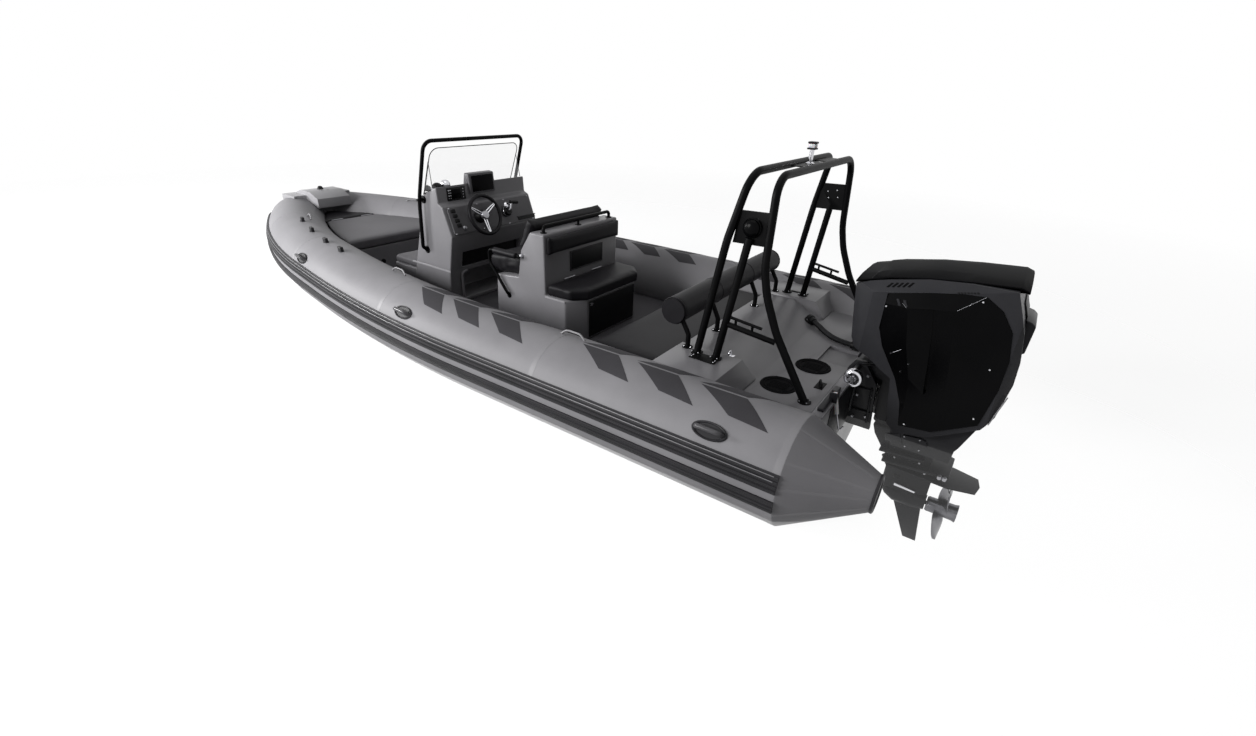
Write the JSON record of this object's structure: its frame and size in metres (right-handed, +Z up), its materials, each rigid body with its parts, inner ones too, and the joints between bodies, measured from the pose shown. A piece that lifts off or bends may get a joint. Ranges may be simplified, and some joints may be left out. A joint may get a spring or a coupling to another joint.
{
  "type": "inflatable rib boat",
  "caption": "Rigid inflatable boat with an air tube collar, centre console, stepped seat, stern bench, tow arch and a tilting outboard.",
  "frame": {"origin": "on the centreline at the transom's aft face, at the waterline", "axes": "+X to the bow, +Y to port, +Z up"},
  "size_m": [6.872, 2.6258, 2.19],
  "materials": {
    "tube_fabric": "matt coated fabric",
    "strake": "moulded rubber",
    "gelcoat": "gloss gelcoat over glass fibre",
    "deck_grey": "gloss gelcoat with non-slip grain",
    "dark_panel": "satin moulded plastic",
    "black_plastic": "satin moulded plastic",
    "clear_screen": "clear acrylic",
    "steel": "polished stainless steel",
    "arch_paint": "satin powder coat",
    "upholstery": "grained marine vinyl",
    "bow_vinyl": "grained marine vinyl",
    "engine_grey": "metallic paint",
    "engine_black": "gloss moulded cover",
    "lamp": "white lens",
    "hose": "corrugated rubber"
  },
  "bodies": {
    "boat": {"tube_port": "tube_fabric", "tube_starboard": "tube_fabric", "tube_bow": "tube_fabric", "stern_cones": "tube_fabric", "cone_caps": "strake", "rub_strakes": "strake", "grab_handles": "strake", "line_eyes": "steel", "hull_bottom": "gelcoat", "cockpit_sole": "deck_grey", "transom": "gelcoat", "aft_deck": "gelcoat", "deck_hatches": "gelcoat", "bow_locker": "gelcoat", "bow_cushion_tip": "bow_vinyl", "nose_cap": "black_plastic", "bow_light": "steel", "console_body": "gelcoat", "dash_panel": "dark_panel", "display_pod": "black_plastic", "compass": "black_plastic", "windscreen": "clear_screen", "console_rail": "arch_paint", "steering_hub": "black_plastic", "throttle": "black_plastic", "front_seat": "gelcoat", "front_cushion": "upholstery", "seat_base": "gelcoat", "helm_cushion": "upholstery", "back_pads": "upholstery", "locker_panel": "dark_panel", "hand_rail": "arch_paint", "armrests": "arch_paint", "bench_base": "gelcoat", "bench_backrest": "upholstery", "backrest_legs": "arch_paint", "arch_port": "arch_paint", "arch_starboard": "arch_paint", "arch_top": "arch_paint", "arch_cleats": "arch_paint", "arch_lights": "lamp", "clamp_bracket": "engine_grey", "tilt_caps": "steel", "tow_eyes": "steel", "rigging_hose": "hose", "hose_glands": "black_plastic"},
    "tilt_bracket": {"swivel_bracket": "engine_grey"},
    "motor": {"midsection": "engine_grey", "gearcase": "engine_grey", "cowl_frame": "engine_grey", "cowl_panels": "engine_black", "cowl_cap": "engine_black"},
    "screw": {"propeller": "steel"},
    "ram_barrel_body": {"ram_barrel": "engine_grey"},
    "ram_rod_body": {"ram_rod": "steel"},
    "helm_wheel": {"steering_wheel": "black_plastic"},
    "jump_lid": {"jump_cushion": "upholstery"},
    "bench_lid": {"bench_cushion": "upholstery"},
    "bow_lid": {"bow_cushion": "bow_vinyl"}
  },
  "joints": [
    {"name": "outboard_tilt", "type": "hinge", "parent": "boat", "child": "tilt_bracket", "pos_m": [0, 0, 0.32], "axis": [0, 1, 0], "range_deg": [0, 62]},
    {"name": "outboard_steer", "type": "hinge", "parent": "tilt_bracket", "child": "motor", "pos_m": [-0.175, 0, 0], "axis": [0, 0, 1], "range_deg": [-30, 30]},
    {"name": "propeller_spin", "type": "hinge", "parent": "motor", "child": "screw", "pos_m": [-0.6, 0, -0.46], "axis": [1, 0, 0], "continuous": true},
    {"name": "tilt_ram_swing", "type": "hinge", "parent": "boat", "child": "ram_barrel_body", "pos_m": [-0.07, 0, -0.015], "axis": [0, 1, 0], "range_deg": [-3, 0.5]},
    {"name": "tilt_ram_slide", "type": "slide", "parent": "ram_barrel_body", "child": "ram_rod_body", "axis": [-0.0995, 0, 0.995], "range_m": [0, 0.132]},
    {"name": "steering_wheel_turn", "type": "hinge", "parent": "boat", "child": "helm_wheel", "pos_m": [2.9546, 0.15, 0.72772], "axis": [0.9356, 0, -0.3531], "range_deg": [-721, 721]},
    {"name": "jump_seat_lid", "type": "hinge", "parent": "boat", "child": "jump_lid", "pos_m": [2.084, 0, 0.405], "axis": [0, 1, 0], "range_deg": [0, 75]},
    {"name": "bench_lid", "type": "hinge", "parent": "boat", "child": "bench_lid", "pos_m": [0.878, 0, 0.295], "axis": [0, -1, 0], "range_deg": [0, 65]},
    {"name": "bow_locker_lid", "type": "hinge", "parent": "boat", "child": "bow_lid", "pos_m": [5.15, 0, 0.358], "axis": [0, 1, 0], "range_deg": [0, 75]}
  ],
  "couplings": [
    {"joint": "tilt_ram_swing", "follows": "outboard_tilt", "ratio": -0.04},
    {"joint": "tilt_ram_slide", "follows": "outboard_tilt", "m_per_rad": 0.12},
    {"joint": "steering_wheel_turn", "follows": "outboard_steer", "ratio": 24}
  ]
}
